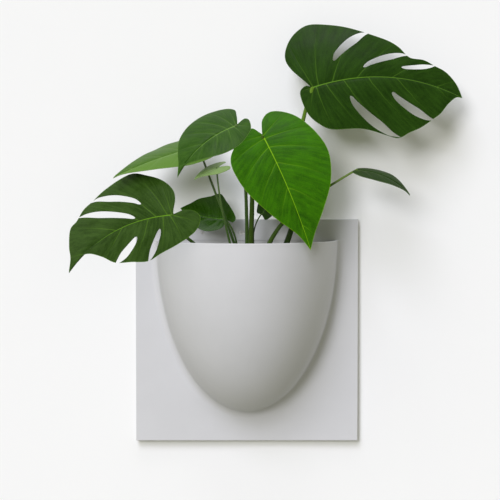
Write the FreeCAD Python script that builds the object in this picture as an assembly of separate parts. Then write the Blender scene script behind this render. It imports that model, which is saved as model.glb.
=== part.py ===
import FreeCAD, Part
import math
import os

# A wall planter and the plant that stands in it. The planter is a square hollow panel with a deep
# half-round pocket moulded in one piece with it, closed from behind by a back plate that is also the
# pocket's rear wall below the rim. A nursery pot with the plant stands on clay pebbles in the pocket.
# Millimetres, +Z up. The wall is the plane y = 0, the room is on the -Y side, and the origin is on the
# wall behind the centre of the panel.

V = FreeCAD.Vector
UP = V(0, 0, 1)
TO_WALL = V(0, 1, 0)

# ---- driving dimensions: panel and pocket
PANEL_SIZE = 300.0
PANEL_DEPTH = 12.0
SKIN = 2.5
EDGE_ROUND = 0.6
POCKET_HALF_WIDTH = 121.0
POCKET_REACH = 138.0
POCKET_DROP = 231.0
RIM_Z = 122.0
RIM_BEAD_R = 1.5
RIM_BEAD_DROP = 1.4
ROOT_FILLET = 12.0

# ---- driving dimensions: back plate, its seal, screws and pads
POCKET_RECESS = 1.0
PLATE_GAP = 0.4
FLANGE_FRONT = 6.5
FLANGE_REAR = 4.0
RIB_THICKNESS = 2.0
RIB_REAR = 1.0
RIB_XS = (-96.0, -32.0, 32.0, 96.0)
RIB_ZS = (-50.0, 60.0)
CENTRE_BOSS_R = 13.0
FIXING_Z = 132.0
FIXING_XS = (-60.0, 60.0)
FIXING_HOLE_R = 2.5
FIXING_BOSS_R = 6.0
SLOT_LENGTH = 22.0
SLOT_WIDTH = 5.0
GASKET_INNER_HALF_WIDTH = 127.0
GASKET_WIDTH = 5.0
GASKET_TOP_HEIGHT = 3.5
POST_R = 4.5
PILOT_R = 1.3
PILOT_DEPTH = 4.6
SCREW_REACH = 138.0
SCREW_PLACES = [(x, z) for x in (-SCREW_REACH, SCREW_REACH) for z in (-SCREW_REACH, 0.0, SCREW_REACH)]
SCREW_PLACES += [(-50.0, -SCREW_REACH), (50.0, -SCREW_REACH)]
SCREW_HEAD_R = 3.2
SCREW_HEAD_HEIGHT = 2.0
SCREW_SHANK_R = 1.25
SCREW_HOLE_R = 1.7
SCREW_LENGTH = 6.6
SCREW_SLOT_WIDTH = 0.9
PAD_PLACES = [(x, z) for x in (-137.0, 137.0) for z in (-90.0, 90.0)]
PAD_R = 8.0

# ---- driving dimensions: pebbles, nursery pot and soil
PEBBLE_R = 10.0
PEBBLE_GAP = 0.4
PEBBLE_LAYERS = 5
POT_Y = -73.0
POT_BOTTOM_Z = -14.0
POT_TOP_Z = 101.0
POT_BOTTOM_R = 42.0
POT_TOP_R = 56.0
POT_RIM_R = 59.0
POT_RIM_HEIGHT = 7.0
POT_WALL = 1.5
POT_STEP_HEIGHT = 14.0
POT_STEP = 2.0
DRAIN_HOLES = 6
DRAIN_HOLE_R = 4.0
DRAIN_CIRCLE_R = 27.0
SOIL_EDGE_Z = 88.0
SOIL_CROWN_Z = 91.0
SOIL_GAP = 0.2

# ---- driving dimensions: the plant. A blade lies in its own plane: u runs from its base to its tip and
# v across it, and its upper face looks along "face". Margins run from the notch at the base to the tip.
# arch lifts the middle of the length and cup lifts (or with a minus sign drops) both margins, where v is
# half. A slit is (u, v) of its inner and outer end, its width and its sideways bend. The stalk leaves the
# soil at root along rise, reaches the blade along arrive, and tapers from the first radius to the second.
BLADE_THICKNESS = 0.9
LEAVES = {
    "left_split": dict(
        base=(-95, -128, 158), tip=(-229, -108, 83), face=(-0.15, -0.93, 0.33),
        arch=6, cup=-8, half=60,
        margin_a=[(-5, 1), (-16, 1), (-28, 9), (-30, 21), (-17, 33), (8, 38), (34, 39), (53, 40), (72, 31),
                  (92, 21), (104, 6), (118, -7), (132, -11), (143, -5)],
        margin_b=[(-4, -5), (-12, -18), (-14, -32), (-7, -50), (8, -67), (30, -83), (66, -80), (88, -73),
                  (104, -69), (118, -59), (130, -53), (140, -32), (145, -15)],
        slits=[((30, -33), (95, -73), 9, -7), ((44, -19), (117, -63), 9, -4), ((52, 5), (94, 23), 10, 2),
               ((21, 10), (54, 42), 8, 1)],
        root=(-33, -68, 87), rise=(-0.72, -0.05, 0.70), arrive=(0.10, -0.90, 0.42), radii=(2.6, 1.7)),
    "right_split": dict(
        base=(86, -75, 323), tip=(282, -65, 310), face=(0.05, -0.95, 0.30),
        arch=10, cup=-8, half=70,
        margin_a=[(-9, 2), (-16, -6), (-12, -22), (-3, -38), (10, -49), (28, -56), (66, -54), (95, -60),
                  (113, -63), (127, -55), (142, -47), (158, -34), (168, -25), (177, -12), (188, -1)],
        margin_b=[(-8, 6), (-28, 25), (-37, 42), (-35, 62), (-25, 81), (-8, 94), (16, 94), (40, 91), (72, 81),
                  (95, 73), (111, 63), (125, 49), (144, 47), (159, 40), (174, 33), (188, 18)],
        slits=[((25, 38), (74, 84), 12, 6), ((64, 30), (126, 52), 9, 5), ((114, 33), (161, 41), 7, -1),
               ((102, -3), (162, -36), 11, -5), ((48, -11), (121, -66), 13, -6)],
        root=(36, -60, 86), rise=(0.52, 0.02, 0.85), arrive=(0.34, -0.10, 0.93), radii=(4.2, 2.4)),
    "front_heart": dict(
        base=(21, -88, 260), tip=(81, -138, 114), face=(0.10, -0.90, 0.40),
        arch=10, cup=5, half=60,
        margin_a=[(-8, 2), (-23, 9), (-31, 22), (-26, 37), (-10, 52), (20, 64), (54, 68), (91, 56), (121, 35),
                  (147, 13)],
        margin_b=[(-7, -3), (-15, -9), (-13, -22), (6, -43), (23, -55), (46, -57), (76, -50), (112, -31),
                  (142, -10)],
        slits=[],
        root=(4, -80, 86), rise=(0.05, -0.02, 1.0), arrive=(0.30, -0.10, 0.95), radii=(4.0, 2.3)),
    "mid_heart": dict(
        base=(-14, -95, 273), tip=(-88, -130, 206), face=(-0.20, -0.80, 0.55),
        arch=6, cup=-6, half=45,
        margin_a=[(-4, 1), (-16, -2), (-19, 4), (-11, 16), (1, 23), (22, 28), (45, 23), (68, 9), (87, -3)],
        margin_b=[(-6, -4), (-14, -14), (-20, -25), (-12, -37), (11, -48), (38, -50), (62, -42), (80, -26),
                  (92, -12)],
        slits=[],
        root=(0, -66, 86), rise=(0.02, -0.03, 1.0), arrive=(-0.22, -0.55, 0.80), radii=(2.8, 1.8)),
    "small_gloss": dict(
        base=(-29, -50, 152), tip=(-88, -45, 166), face=(0.0, -0.85, 0.50),
        arch=-2, cup=9, half=30,
        margin_a=[(-1, 5), (-1, 14), (7, 23), (20, 28), (34, 24), (48, 12)],
        margin_b=[(-6, 2), (-12, 4), (-14, -3), (-6, -14), (4, -23), (14, -30), (26, -25), (40, -19), (51, -9)],
        slits=[],
        root=(-10, -56, 86), rise=(-0.05, 0.0, 1.0), arrive=(-0.60, 0.15, 0.66), radii=(1.8, 1.1)),
    "small_right": dict(
        base=(143, -95, 216), tip=(208, -125, 184), face=(0.24, -0.42, 0.87),
        arch=8, cup=-3, half=20,
        margin_a=[(-3, 3), (-3, 8), (4, 15), (18, 19), (38, 17), (56, 10), (70, 3)],
        margin_b=[(-3, -3), (-3, -8), (4, -15), (18, -19), (38, -17), (56, -10), (70, -3)],
        slits=[],
        root=(19, -74, 86), rise=(0.16, 0.0, 0.97), arrive=(0.80, -0.30, 0.45), radii=(3.6, 1.2)),
    "pale_back": dict(
        base=(-63, -78, 246), tip=(-172, -105, 206), face=(-0.20, -0.45, 0.87),
        arch=4, cup=-4, half=35,
        margin_a=[(-6, 4), (-18, 10), (-18, 24), (0, 36), (22, 38), (46, 33), (76, 21), (104, 6)],
        margin_b=[(-6, -4), (-18, -12), (-19, -30), (-2, -45), (22, -48), (46, -40), (76, -24), (104, -8)],
        slits=[],
        root=(-6, -64, 86), rise=(-0.28, -0.05, 0.95), arrive=(-0.33, -0.15, 0.94), radii=(2.0, 1.3)),
    "small_pale": dict(
        base=(-39, -88, 219), tip=(-68, -100, 204), face=(-0.15, -0.40, 0.90),
        arch=1, cup=-2, half=15,
        margin_a=[(-5, 3), (-14, 7), (-11, 14), (4, 15), (16, 11), (27, 4)],
        margin_b=[(-5, -3), (-17, -7), (-15, -16), (0, -19), (14, -14), (26, -6)],
        slits=[],
        root=(-13, -78, 86), rise=(-0.26, -0.05, 0.97), arrive=(-0.06, -0.05, 1.0), radii=(1.8, 1.0)),
    "small_behind": dict(
        base=(20, -78, 159), tip=(46, -88, 197), face=(-0.20, -0.80, 0.50),
        arch=3, cup=-2, half=16,
        margin_a=[(-3, 3), (-4, 9), (6, 14), (18, 15), (32, 10), (42, 4)],
        margin_b=[(-3, -3), (-4, -9), (6, -14), (18, -15), (32, -10), (42, -4)],
        slits=[],
        root=(9, -70, 86), rise=(0.02, 0.0, 1.0), arrive=(0.50, -0.30, 0.60), radii=(1.2, 0.8)),
}


# ---- small helpers
def unit(vector):
    return V(vector).normalize()


def box(x0, x1, y0, y1, z0, z1):
    return Part.makeBox(x1 - x0, y1 - y0, z1 - z0, V(x0, y0, z0))


def rod_to_wall(radius, x, z, y0, y1):
    """A round rod square to the wall, from depth y0 to y1."""
    return Part.makeCylinder(radius, y1 - y0, V(x, y0, z), TO_WALL)


def fuse(first, others):
    return first.multiFuse(others).removeSplitter()


def lower_half_ellipsoid(half_width, reach, drop):
    """The half below the rim of an ellipsoid centred where the rim's plane meets the panel's face."""
    stretch = FreeCAD.Matrix()
    stretch.A11, stretch.A22, stretch.A33 = half_width, reach, drop
    ball = Part.makeSphere(1.0, V(0, 0, 0), UP, -90, 0).transformGeometry(stretch)
    ball.translate(V(0, -PANEL_DEPTH, RIM_Z))
    return ball


def half_ellipse_prism(half_width, drop, y0, y1):
    """A slab in the panel's plane whose outline is the half ellipse hanging below the rim."""
    ellipse = Part.Ellipse(V(0, y0, RIM_Z - drop), V(half_width, y0, RIM_Z), V(0, y0, RIM_Z))
    edge = ellipse.toShape()
    face = Part.Face(Part.Wire([edge]))
    slab = face.extrude(V(0, y1 - y0, 0))
    half_space = box(-PANEL_SIZE, PANEL_SIZE, y0 - 1, y1 + 1, RIM_Z - 2 * drop, RIM_Z)
    return slab.common(half_space)


# ---- planter
def opening_prism(gap, y0, y1):
    """The pocket's half-elliptic opening in the panel, made smaller by a gap all round."""
    slab = half_ellipse_prism(POCKET_HALF_WIDTH - SKIN - gap, POCKET_DROP - SKIN - gap, y0, y1)
    return slab.common(box(-PANEL_SIZE, PANEL_SIZE, y0 - 1, y1 + 1, -PANEL_SIZE, RIM_Z - gap))


def panel_tray():
    half = PANEL_SIZE / 2
    block = box(-half, half, -PANEL_DEPTH, 0, -half, half)
    front = [e for e in block.Edges if e.BoundBox.YMax < -PANEL_DEPTH + 0.01]
    block = block.makeFillet(EDGE_ROUND, front)
    inner = half - SKIN
    return block.cut(box(-inner, inner, -PANEL_DEPTH + SKIN, 1, -inner, inner))


def make_front_shell():
    tray = panel_tray()
    bowl = lower_half_ellipsoid(POCKET_HALF_WIDTH, POCKET_REACH, POCKET_DROP)
    bowl = bowl.common(box(-200, 200, -200, -PANEL_DEPTH + SKIN, -200, 200))
    shell = tray.fuse(bowl)
    root = [e for e in shell.Edges if lies_on_panel_face(e)]
    shell = shell.makeFillet(ROOT_FILLET, root)
    hollow = lower_half_ellipsoid(POCKET_HALF_WIDTH - SKIN, POCKET_REACH - SKIN, POCKET_DROP - SKIN)
    shell = shell.cut(hollow)
    posts = []
    for x, z in SCREW_PLACES:
        posts.append(rod_to_wall(POST_R, x, z, -PANEL_DEPTH + SKIN, -FLANGE_FRONT))
    shell = fuse(shell, posts)
    for x, z in SCREW_PLACES:
        shell = shell.cut(rod_to_wall(PILOT_R, x, z, -FLANGE_FRONT - PILOT_DEPTH, 0))
    for hole in fixing_holes():
        shell = shell.cut(hole)
    return shell.fuse(make_rim_bead())


def fixing_holes():
    """The two screw holes and the level slot above the rim, through the panel and the back plate."""
    holes = [rod_to_wall(FIXING_HOLE_R, x, FIXING_Z, -PANEL_DEPTH - 1, 1) for x in FIXING_XS]
    return holes + [slot_prism(SLOT_LENGTH, SLOT_WIDTH, -PANEL_DEPTH - 1, 1)]


def make_rim_bead():
    """A round bead along the pocket's rim, which strengthens its thin edge."""
    z = RIM_Z - RIM_BEAD_DROP
    side = POCKET_HALF_WIDTH - SKIN / 2
    front = POCKET_REACH - SKIN / 2
    ellipse = Part.Ellipse(V(0, -PANEL_DEPTH - front, z), V(side, -PANEL_DEPTH, z), V(0, -PANEL_DEPTH, z))
    path = Part.ArcOfEllipse(ellipse, math.radians(-91), math.radians(91)).toShape()
    start = path.FirstParameter
    section = Part.makeCircle(RIM_BEAD_R, path.valueAt(start), path.tangentAt(start))
    return Part.Wire([path]).makePipeShell([Part.Wire([section])], True, False)


def lies_on_panel_face(edge):
    """Whether an edge is part of the curve where the bowl stands on the panel's face."""
    bounds = edge.BoundBox
    inside = abs(bounds.XMax) < PANEL_SIZE / 2 - 1 and abs(bounds.ZMin) < RIM_Z - 1
    return inside and abs(bounds.YMin + PANEL_DEPTH) < 0.01 and abs(bounds.YMax + PANEL_DEPTH) < 0.01


def make_back_plate():
    half = PANEL_SIZE / 2 - SKIN - PLATE_GAP
    flange = box(-half, half, -FLANGE_FRONT, -FLANGE_REAR, -half, half)
    front = -PANEL_DEPTH + POCKET_RECESS
    plateau = opening_prism(PLATE_GAP, front, -FLANGE_REAR)
    plate = fuse(flange, [plateau])
    hollow = opening_prism(PLATE_GAP + SKIN, front + SKIN, 0)
    plate = plate.cut(hollow)
    rib, reach = RIB_THICKNESS / 2, PANEL_SIZE / 2
    stiff = [box(x - rib, x + rib, front + SKIN, -RIB_REAR, -reach, reach) for x in RIB_XS]
    stiff += [box(-reach, reach, front + SKIN, -RIB_REAR, z - rib, z + rib) for z in RIB_ZS]
    ribs = [bar.common(hollow) for bar in stiff]
    bosses = [rod_to_wall(CENTRE_BOSS_R, 0, 0, front + SKIN, 0)]
    boss_front = -PANEL_DEPTH + SKIN + PLATE_GAP
    for x in FIXING_XS:
        bosses.append(rod_to_wall(FIXING_BOSS_R, x, FIXING_Z, boss_front, 0))
    bosses.append(slot_prism(SLOT_LENGTH + 2 * SKIN + 2, SLOT_WIDTH + 2 * SKIN + 2, boss_front, 0))
    plate = fuse(plate, ribs + bosses)
    for hole in fixing_holes():
        plate = plate.cut(hole)
    for x, z in SCREW_PLACES:
        plate = plate.cut(rod_to_wall(SCREW_HOLE_R, x, z, -FLANGE_FRONT - 1, 0))
    return plate


def slot_prism(length, width, y0, y1):
    """A bar with round ends that lies level at the height of the fixings."""
    reach = length / 2 - width / 2
    bar = box(-reach, reach, y0, y1, FIXING_Z - width / 2, FIXING_Z + width / 2)
    return fuse(bar, [rod_to_wall(width / 2, x, FIXING_Z, y0, y1) for x in (-reach, reach)])


def make_pocket_gasket():
    """A foam strip all round the opening, between the panel's skin and the flange."""
    y0, y1 = -PANEL_DEPTH + SKIN, -FLANGE_FRONT
    inner = GASKET_INNER_HALF_WIDTH
    outer = inner + GASKET_WIDTH
    drop = POCKET_DROP + inner - POCKET_HALF_WIDTH
    strip = half_ellipse_prism(outer, drop + GASKET_WIDTH, y0, y1)
    strip = strip.cut(half_ellipse_prism(inner, drop, y0 - 1, y1 + 1))
    return fuse(strip, [box(-outer, outer, y0, y1, RIM_Z, RIM_Z + GASKET_TOP_HEIGHT)])


def cover_screw(x, z):
    """A pan-head screw driven from behind, its head on the flange."""
    head = rod_to_wall(SCREW_HEAD_R, x, z, -FLANGE_REAR, -FLANGE_REAR + SCREW_HEAD_HEIGHT)
    shank = rod_to_wall(SCREW_SHANK_R, x, z, -FLANGE_REAR - SCREW_LENGTH, -FLANGE_REAR)
    screw = fuse(head, [shank])
    rear = -FLANGE_REAR + SCREW_HEAD_HEIGHT
    for width, depth in ((SCREW_SLOT_WIDTH, 4.0), (4.0, SCREW_SLOT_WIDTH)):
        screw = screw.cut(box(x - width / 2, x + width / 2, rear - 1.1, rear + 1, z - depth / 2, z + depth / 2))
    return screw


def make_cover_screws():
    return Part.makeCompound([cover_screw(x, z) for x, z in SCREW_PLACES])


def make_wall_pads():
    return Part.makeCompound([rod_to_wall(PAD_R, x, z, -FLANGE_REAR, 0) for x, z in PAD_PLACES])


# ---- what stands in the pocket
def in_pocket(x, y, z, room):
    """Whether a ball with this much room round its centre fits in the pocket."""
    a = POCKET_HALF_WIDTH - SKIN - room
    b = POCKET_REACH - SKIN - room
    c = POCKET_DROP - SKIN - room
    spread = (x / a) ** 2 + ((y + PANEL_DEPTH) / b) ** 2 + ((z - RIM_Z) / c) ** 2
    return spread <= 1 and y <= -PANEL_DEPTH + POCKET_RECESS - PEBBLE_R - PEBBLE_GAP


def make_clay_pebbles():
    """Round pebbles in close-packed layers, from just under the nursery pot down to the pocket's bottom."""
    pitch = 2 * PEBBLE_R + PEBBLE_GAP
    layer_height = pitch * math.sqrt(2 / 3)
    row_height = pitch * math.sqrt(3) / 2
    top = POT_BOTTOM_Z - PEBBLE_GAP - PEBBLE_R
    room = PEBBLE_R + 3 * PEBBLE_GAP
    pebbles = []
    for layer in range(PEBBLE_LAYERS):
        z = top - layer * layer_height
        shift_x = pitch / 2 * (layer % 2)
        shift_y = row_height / 3 * (layer % 2)
        for row in range(8):
            y = -PANEL_DEPTH - PEBBLE_R - row * row_height - shift_y
            for column in range(-7, 8):
                x = (column + 0.5 * (row % 2)) * pitch + shift_x
                if in_pocket(x, y, z, room):
                    pebbles.append(Part.makeSphere(PEBBLE_R, V(x, y, z)))
    print("pebbles", len(pebbles))
    return Part.makeCompound(pebbles)


def turned(points):
    """A solid turned about the pot's upright axis from a closed outline of (radius, z) points."""
    outline = Part.makePolygon([V(r, 0, z) for r, z in points + points[:1]])
    solid = Part.Face(outline).revolve(V(0, 0, 0), UP, 360)
    solid.translate(V(0, POT_Y, 0))
    return solid


def pot_radius(z):
    """The nursery pot's outer radius between its bottom and its rim."""
    share = (z - POT_BOTTOM_Z) / (POT_TOP_Z - POT_BOTTOM_Z)
    return POT_BOTTOM_R + share * (POT_TOP_R - POT_BOTTOM_R)


def make_grow_pot():
    """A thin tapered pot with a stepped foot, a turned-out rim and drain holes in its floor."""
    foot_z = POT_BOTTOM_Z + POT_STEP_HEIGHT
    rim_z = POT_TOP_Z - POT_RIM_HEIGHT
    foot_r = pot_radius(foot_z) - POT_STEP
    outer = [(0, POT_BOTTOM_Z), (POT_BOTTOM_R - POT_STEP, POT_BOTTOM_Z), (foot_r, foot_z),
             (pot_radius(foot_z), foot_z), (pot_radius(rim_z), rim_z), (POT_RIM_R, rim_z),
             (POT_RIM_R, POT_TOP_Z)]
    inner = [(POT_TOP_R - POT_WALL, POT_TOP_Z), (pot_radius(foot_z) - POT_WALL, foot_z + POT_WALL),
             (foot_r - POT_WALL, foot_z), (POT_BOTTOM_R - POT_STEP - POT_WALL, POT_BOTTOM_Z + POT_WALL),
             (0, POT_BOTTOM_Z + POT_WALL)]
    pot = turned(outer + inner)
    for index in range(DRAIN_HOLES):
        angle = 2 * math.pi * index / DRAIN_HOLES
        x, y = DRAIN_CIRCLE_R * math.cos(angle), POT_Y + DRAIN_CIRCLE_R * math.sin(angle)
        pot = pot.cut(Part.makeCylinder(DRAIN_HOLE_R, 3 * POT_WALL, V(x, y, POT_BOTTOM_Z - POT_WALL)))
    return pot


def make_potting_soil():
    """The root ball: it fills the pot to near its rim and is slightly heaped in the middle."""
    foot_z = POT_BOTTOM_Z + POT_STEP_HEIGHT
    trim = POT_WALL + SOIL_GAP
    outline = [(0, POT_BOTTOM_Z + POT_WALL), (POT_BOTTOM_R - POT_STEP - trim, POT_BOTTOM_Z + POT_WALL),
               (pot_radius(foot_z) - POT_STEP - trim, foot_z + POT_WALL / 2),
               (pot_radius(foot_z) - trim, foot_z + 2 * POT_WALL),
               (pot_radius(SOIL_EDGE_Z) - trim, SOIL_EDGE_Z),
               (POT_BOTTOM_R / 2, (SOIL_EDGE_Z + 2 * SOIL_CROWN_Z) / 3), (0, SOIL_CROWN_Z)]
    return turned(outline)


# ---- plant
def biarc(start, leave, end, arrive):
    """Two arcs that meet smoothly and run from start to end in the given directions."""
    leave, arrive = unit(leave), unit(arrive)
    span = end - start
    both = leave + arrive
    bend = 1 - leave.dot(arrive)
    reach = (-span.dot(both) + math.sqrt(span.dot(both) ** 2 + 2 * bend * span.dot(span))) / (2 * bend)
    first, last = start + leave * reach, end - arrive * reach
    middle = (first + last) * 0.5
    return [tangent_arc(start, first, middle), tangent_arc(middle, last, end)]


def tangent_arc(start, corner, end):
    """The arc from start to end whose tangents at both ends run through the corner point."""
    half_chord = (end - start).Length / 2
    arm = (corner - start).Length
    base = (start + end) * 0.5
    height = corner - base
    sine = half_chord / arm
    rise = half_chord * (1 - sine) / math.sqrt(max(1 - sine * sine, 1e-9))
    return Part.Arc(start, base + unit(height) * rise, end)


def make_petiole(leaf):
    """A leaf's stalk: a round tapered tube on two arcs, from in the soil to the blade's base."""
    arcs = biarc(V(leaf["root"]), V(leaf["rise"]), V(leaf["base"]), V(leaf["arrive"]))
    path = Part.Wire([arc.toShape() for arc in arcs])
    low, high = leaf["radii"]
    first = Part.Wire([Part.makeCircle(low, V(leaf["root"]), unit(leaf["rise"]))])
    last = Part.Wire([Part.makeCircle(high, V(leaf["base"]), unit(leaf["arrive"]))])
    tube = path.makePipeShell([first, last], True, False)
    middle = math.pi * (low * low + low * high + high * high) / 3 * path.Length
    print("  petiole length %.0f, radii of its arcs %s, volume / expected %.3f"
          % (path.Length, [round(edge.Curve.Radius) for edge in path.Edges], tube.Volume / middle))
    return tube


def blade_axes(leaf):
    """The blade's base point, its length and its three directions: along, across and out of its upper face."""
    base, tip = V(leaf["base"]), V(leaf["tip"])
    length = (tip - base).Length
    along = (tip - base) * (1 / length)
    face = V(leaf["face"])
    out = unit(face - along * face.dot(along))
    return base, length, along, out.cross(along), out


def blade_height(leaf, length, u, v):
    share = u / length
    return leaf["arch"] * 4 * share * (1 - share) + leaf["cup"] * (v / leaf["half"]) ** 2


def make_blade(leaf):
    """A curved sheet, cut to the blade's outline and slit between its side veins."""
    base, length, along, across, out = blade_axes(leaf)
    points = leaf["margin_a"] + leaf["margin_b"]
    us = [u for u, v in points] + [length]
    vs = [v for u, v in points]
    u0, u1, v0, v1 = min(us) - 6, max(us) + 6, min(vs) - 6, max(vs) + 6
    grid = []
    for i in range(9):
        u = u0 + (u1 - u0) * i / 8
        row = []
        for j in range(9):
            v = v0 + (v1 - v0) * j / 8
            row.append(base + along * u + across * v + out * blade_height(leaf, length, u, v))
        grid.append(row)
    surface = Part.BSplineSurface()
    surface.interpolate(grid)
    sheet = surface.toShape().extrude(out * -BLADE_THICKNESS)

    def place(u, v):
        return base + along * u + across * v - out * 60

    notch = place(-2, 0)
    tip = place(length, 0)
    edges = []
    for margin in (leaf["margin_a"], leaf["margin_b"]):
        curve = Part.BSplineCurve()
        curve.interpolate([notch] + [place(u, v) for u, v in margin] + [tip])
        edges.append(curve.toShape())
    outline = Part.Face(Part.Wire([edges[0], edges[1]])).extrude(out * 120)
    blade = sheet.common(outline)
    for inner, outer, width, bend in leaf["slits"]:
        blade = blade.cut(slit_prism(place, out, inner, outer, width, bend))
    return blade


def slit_prism(place, out, inner, outer, width, bend):
    """A tear-shaped bar: pointed at its inner end, widest past its middle and round at its outer end."""
    du, dv = outer[0] - inner[0], outer[1] - inner[1]
    length = math.hypot(du, dv)
    side_u, side_v = -dv / length, du / length

    def at(share, offset):
        return place(inner[0] + du * share + side_u * offset, inner[1] + dv * share + side_v * offset)

    half = width / 2
    left = Part.BSplineCurve()
    left.interpolate([at(0, 0), at(0.35, bend + 0.75 * half), at(0.7, bend + half), at(1, 0)])
    right = Part.BSplineCurve()
    right.interpolate([at(0, 0), at(0.35, bend - 0.75 * half), at(0.7, bend - half), at(1, 0)])
    return Part.Face(Part.Wire([left.toShape(), right.toShape()])).extrude(out * 120)


# ---- write one file per node
def write(name, shape):
    kinds = [s.isValid() for s in shape.Solids]
    box_mm = shape.BoundBox
    print("%-24s solids %d valid %s volume %.0f  x %.0f..%.0f y %.0f..%.0f z %.0f..%.0f" % (
        name, len(kinds), all(kinds) and bool(kinds), shape.Volume, box_mm.XMin, box_mm.XMax, box_mm.YMin,
        box_mm.YMax, box_mm.ZMin, box_mm.ZMax))
    shape.exportStep("parts/%s.step" % name)


def main():
    os.makedirs("parts", exist_ok=True)
    write("front_shell", make_front_shell())
    write("back_plate", make_back_plate())
    write("pocket_gasket", make_pocket_gasket())
    write("cover_screws", make_cover_screws())
    write("wall_pads", make_wall_pads())
    write("clay_pebbles", make_clay_pebbles())
    write("grow_pot", make_grow_pot())
    write("potting_soil", make_potting_soil())
    for name, leaf in LEAVES.items():
        write("petiole_" + name, make_petiole(leaf))
        write("blade_" + name, make_blade(leaf))


main()
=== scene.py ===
import math
import random
from bisect import bisect_right

import bpy
from mathutils import Euler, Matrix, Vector, noise


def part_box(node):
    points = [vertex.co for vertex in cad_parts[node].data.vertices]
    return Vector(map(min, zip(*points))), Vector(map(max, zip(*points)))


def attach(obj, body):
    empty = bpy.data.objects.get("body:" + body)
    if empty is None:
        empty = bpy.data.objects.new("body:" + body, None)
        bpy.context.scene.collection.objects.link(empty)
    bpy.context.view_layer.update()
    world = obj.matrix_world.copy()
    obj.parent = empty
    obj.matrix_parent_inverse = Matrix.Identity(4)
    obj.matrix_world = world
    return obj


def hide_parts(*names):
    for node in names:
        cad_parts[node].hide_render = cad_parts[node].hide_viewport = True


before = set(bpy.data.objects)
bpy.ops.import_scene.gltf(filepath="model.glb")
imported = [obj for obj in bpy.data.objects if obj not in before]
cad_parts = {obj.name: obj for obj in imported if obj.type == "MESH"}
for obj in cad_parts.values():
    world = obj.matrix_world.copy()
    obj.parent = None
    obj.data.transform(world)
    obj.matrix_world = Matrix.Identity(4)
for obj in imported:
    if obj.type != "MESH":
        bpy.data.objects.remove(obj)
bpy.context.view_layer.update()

# The looks of a wall planter and of the plant that stands in it. The wall is the plane y = 0, the room is
# on the -Y side, and sizes in this file are millimetres unless they say otherwise.

bl_info = {
    "name": "Wall planter with a plant",
    "version": (1, 0, 0),
    "blender": (4, 5, 0),
    "location": "View3D > Sidebar > Planter",
    "description": "Builds a wall planter, its nursery pot and a split-leaf plant round the packed frame",
    "category": "Object",
}

MM = 0.001


def tint(red, green, blue):
    """A colour written in screen values from 0 to 255, as the linear values that a shader works in."""
    def linear(value):
        value /= 255
        return value / 12.92 if value <= 0.04045 else ((value + 0.055) / 1.055) ** 2.4
    return tuple(linear(value) for value in (red, green, blue))


def scaled(colour, share):
    """A colour made darker or lighter."""
    return tuple(min(1.0, share * value) for value in colour)


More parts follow.
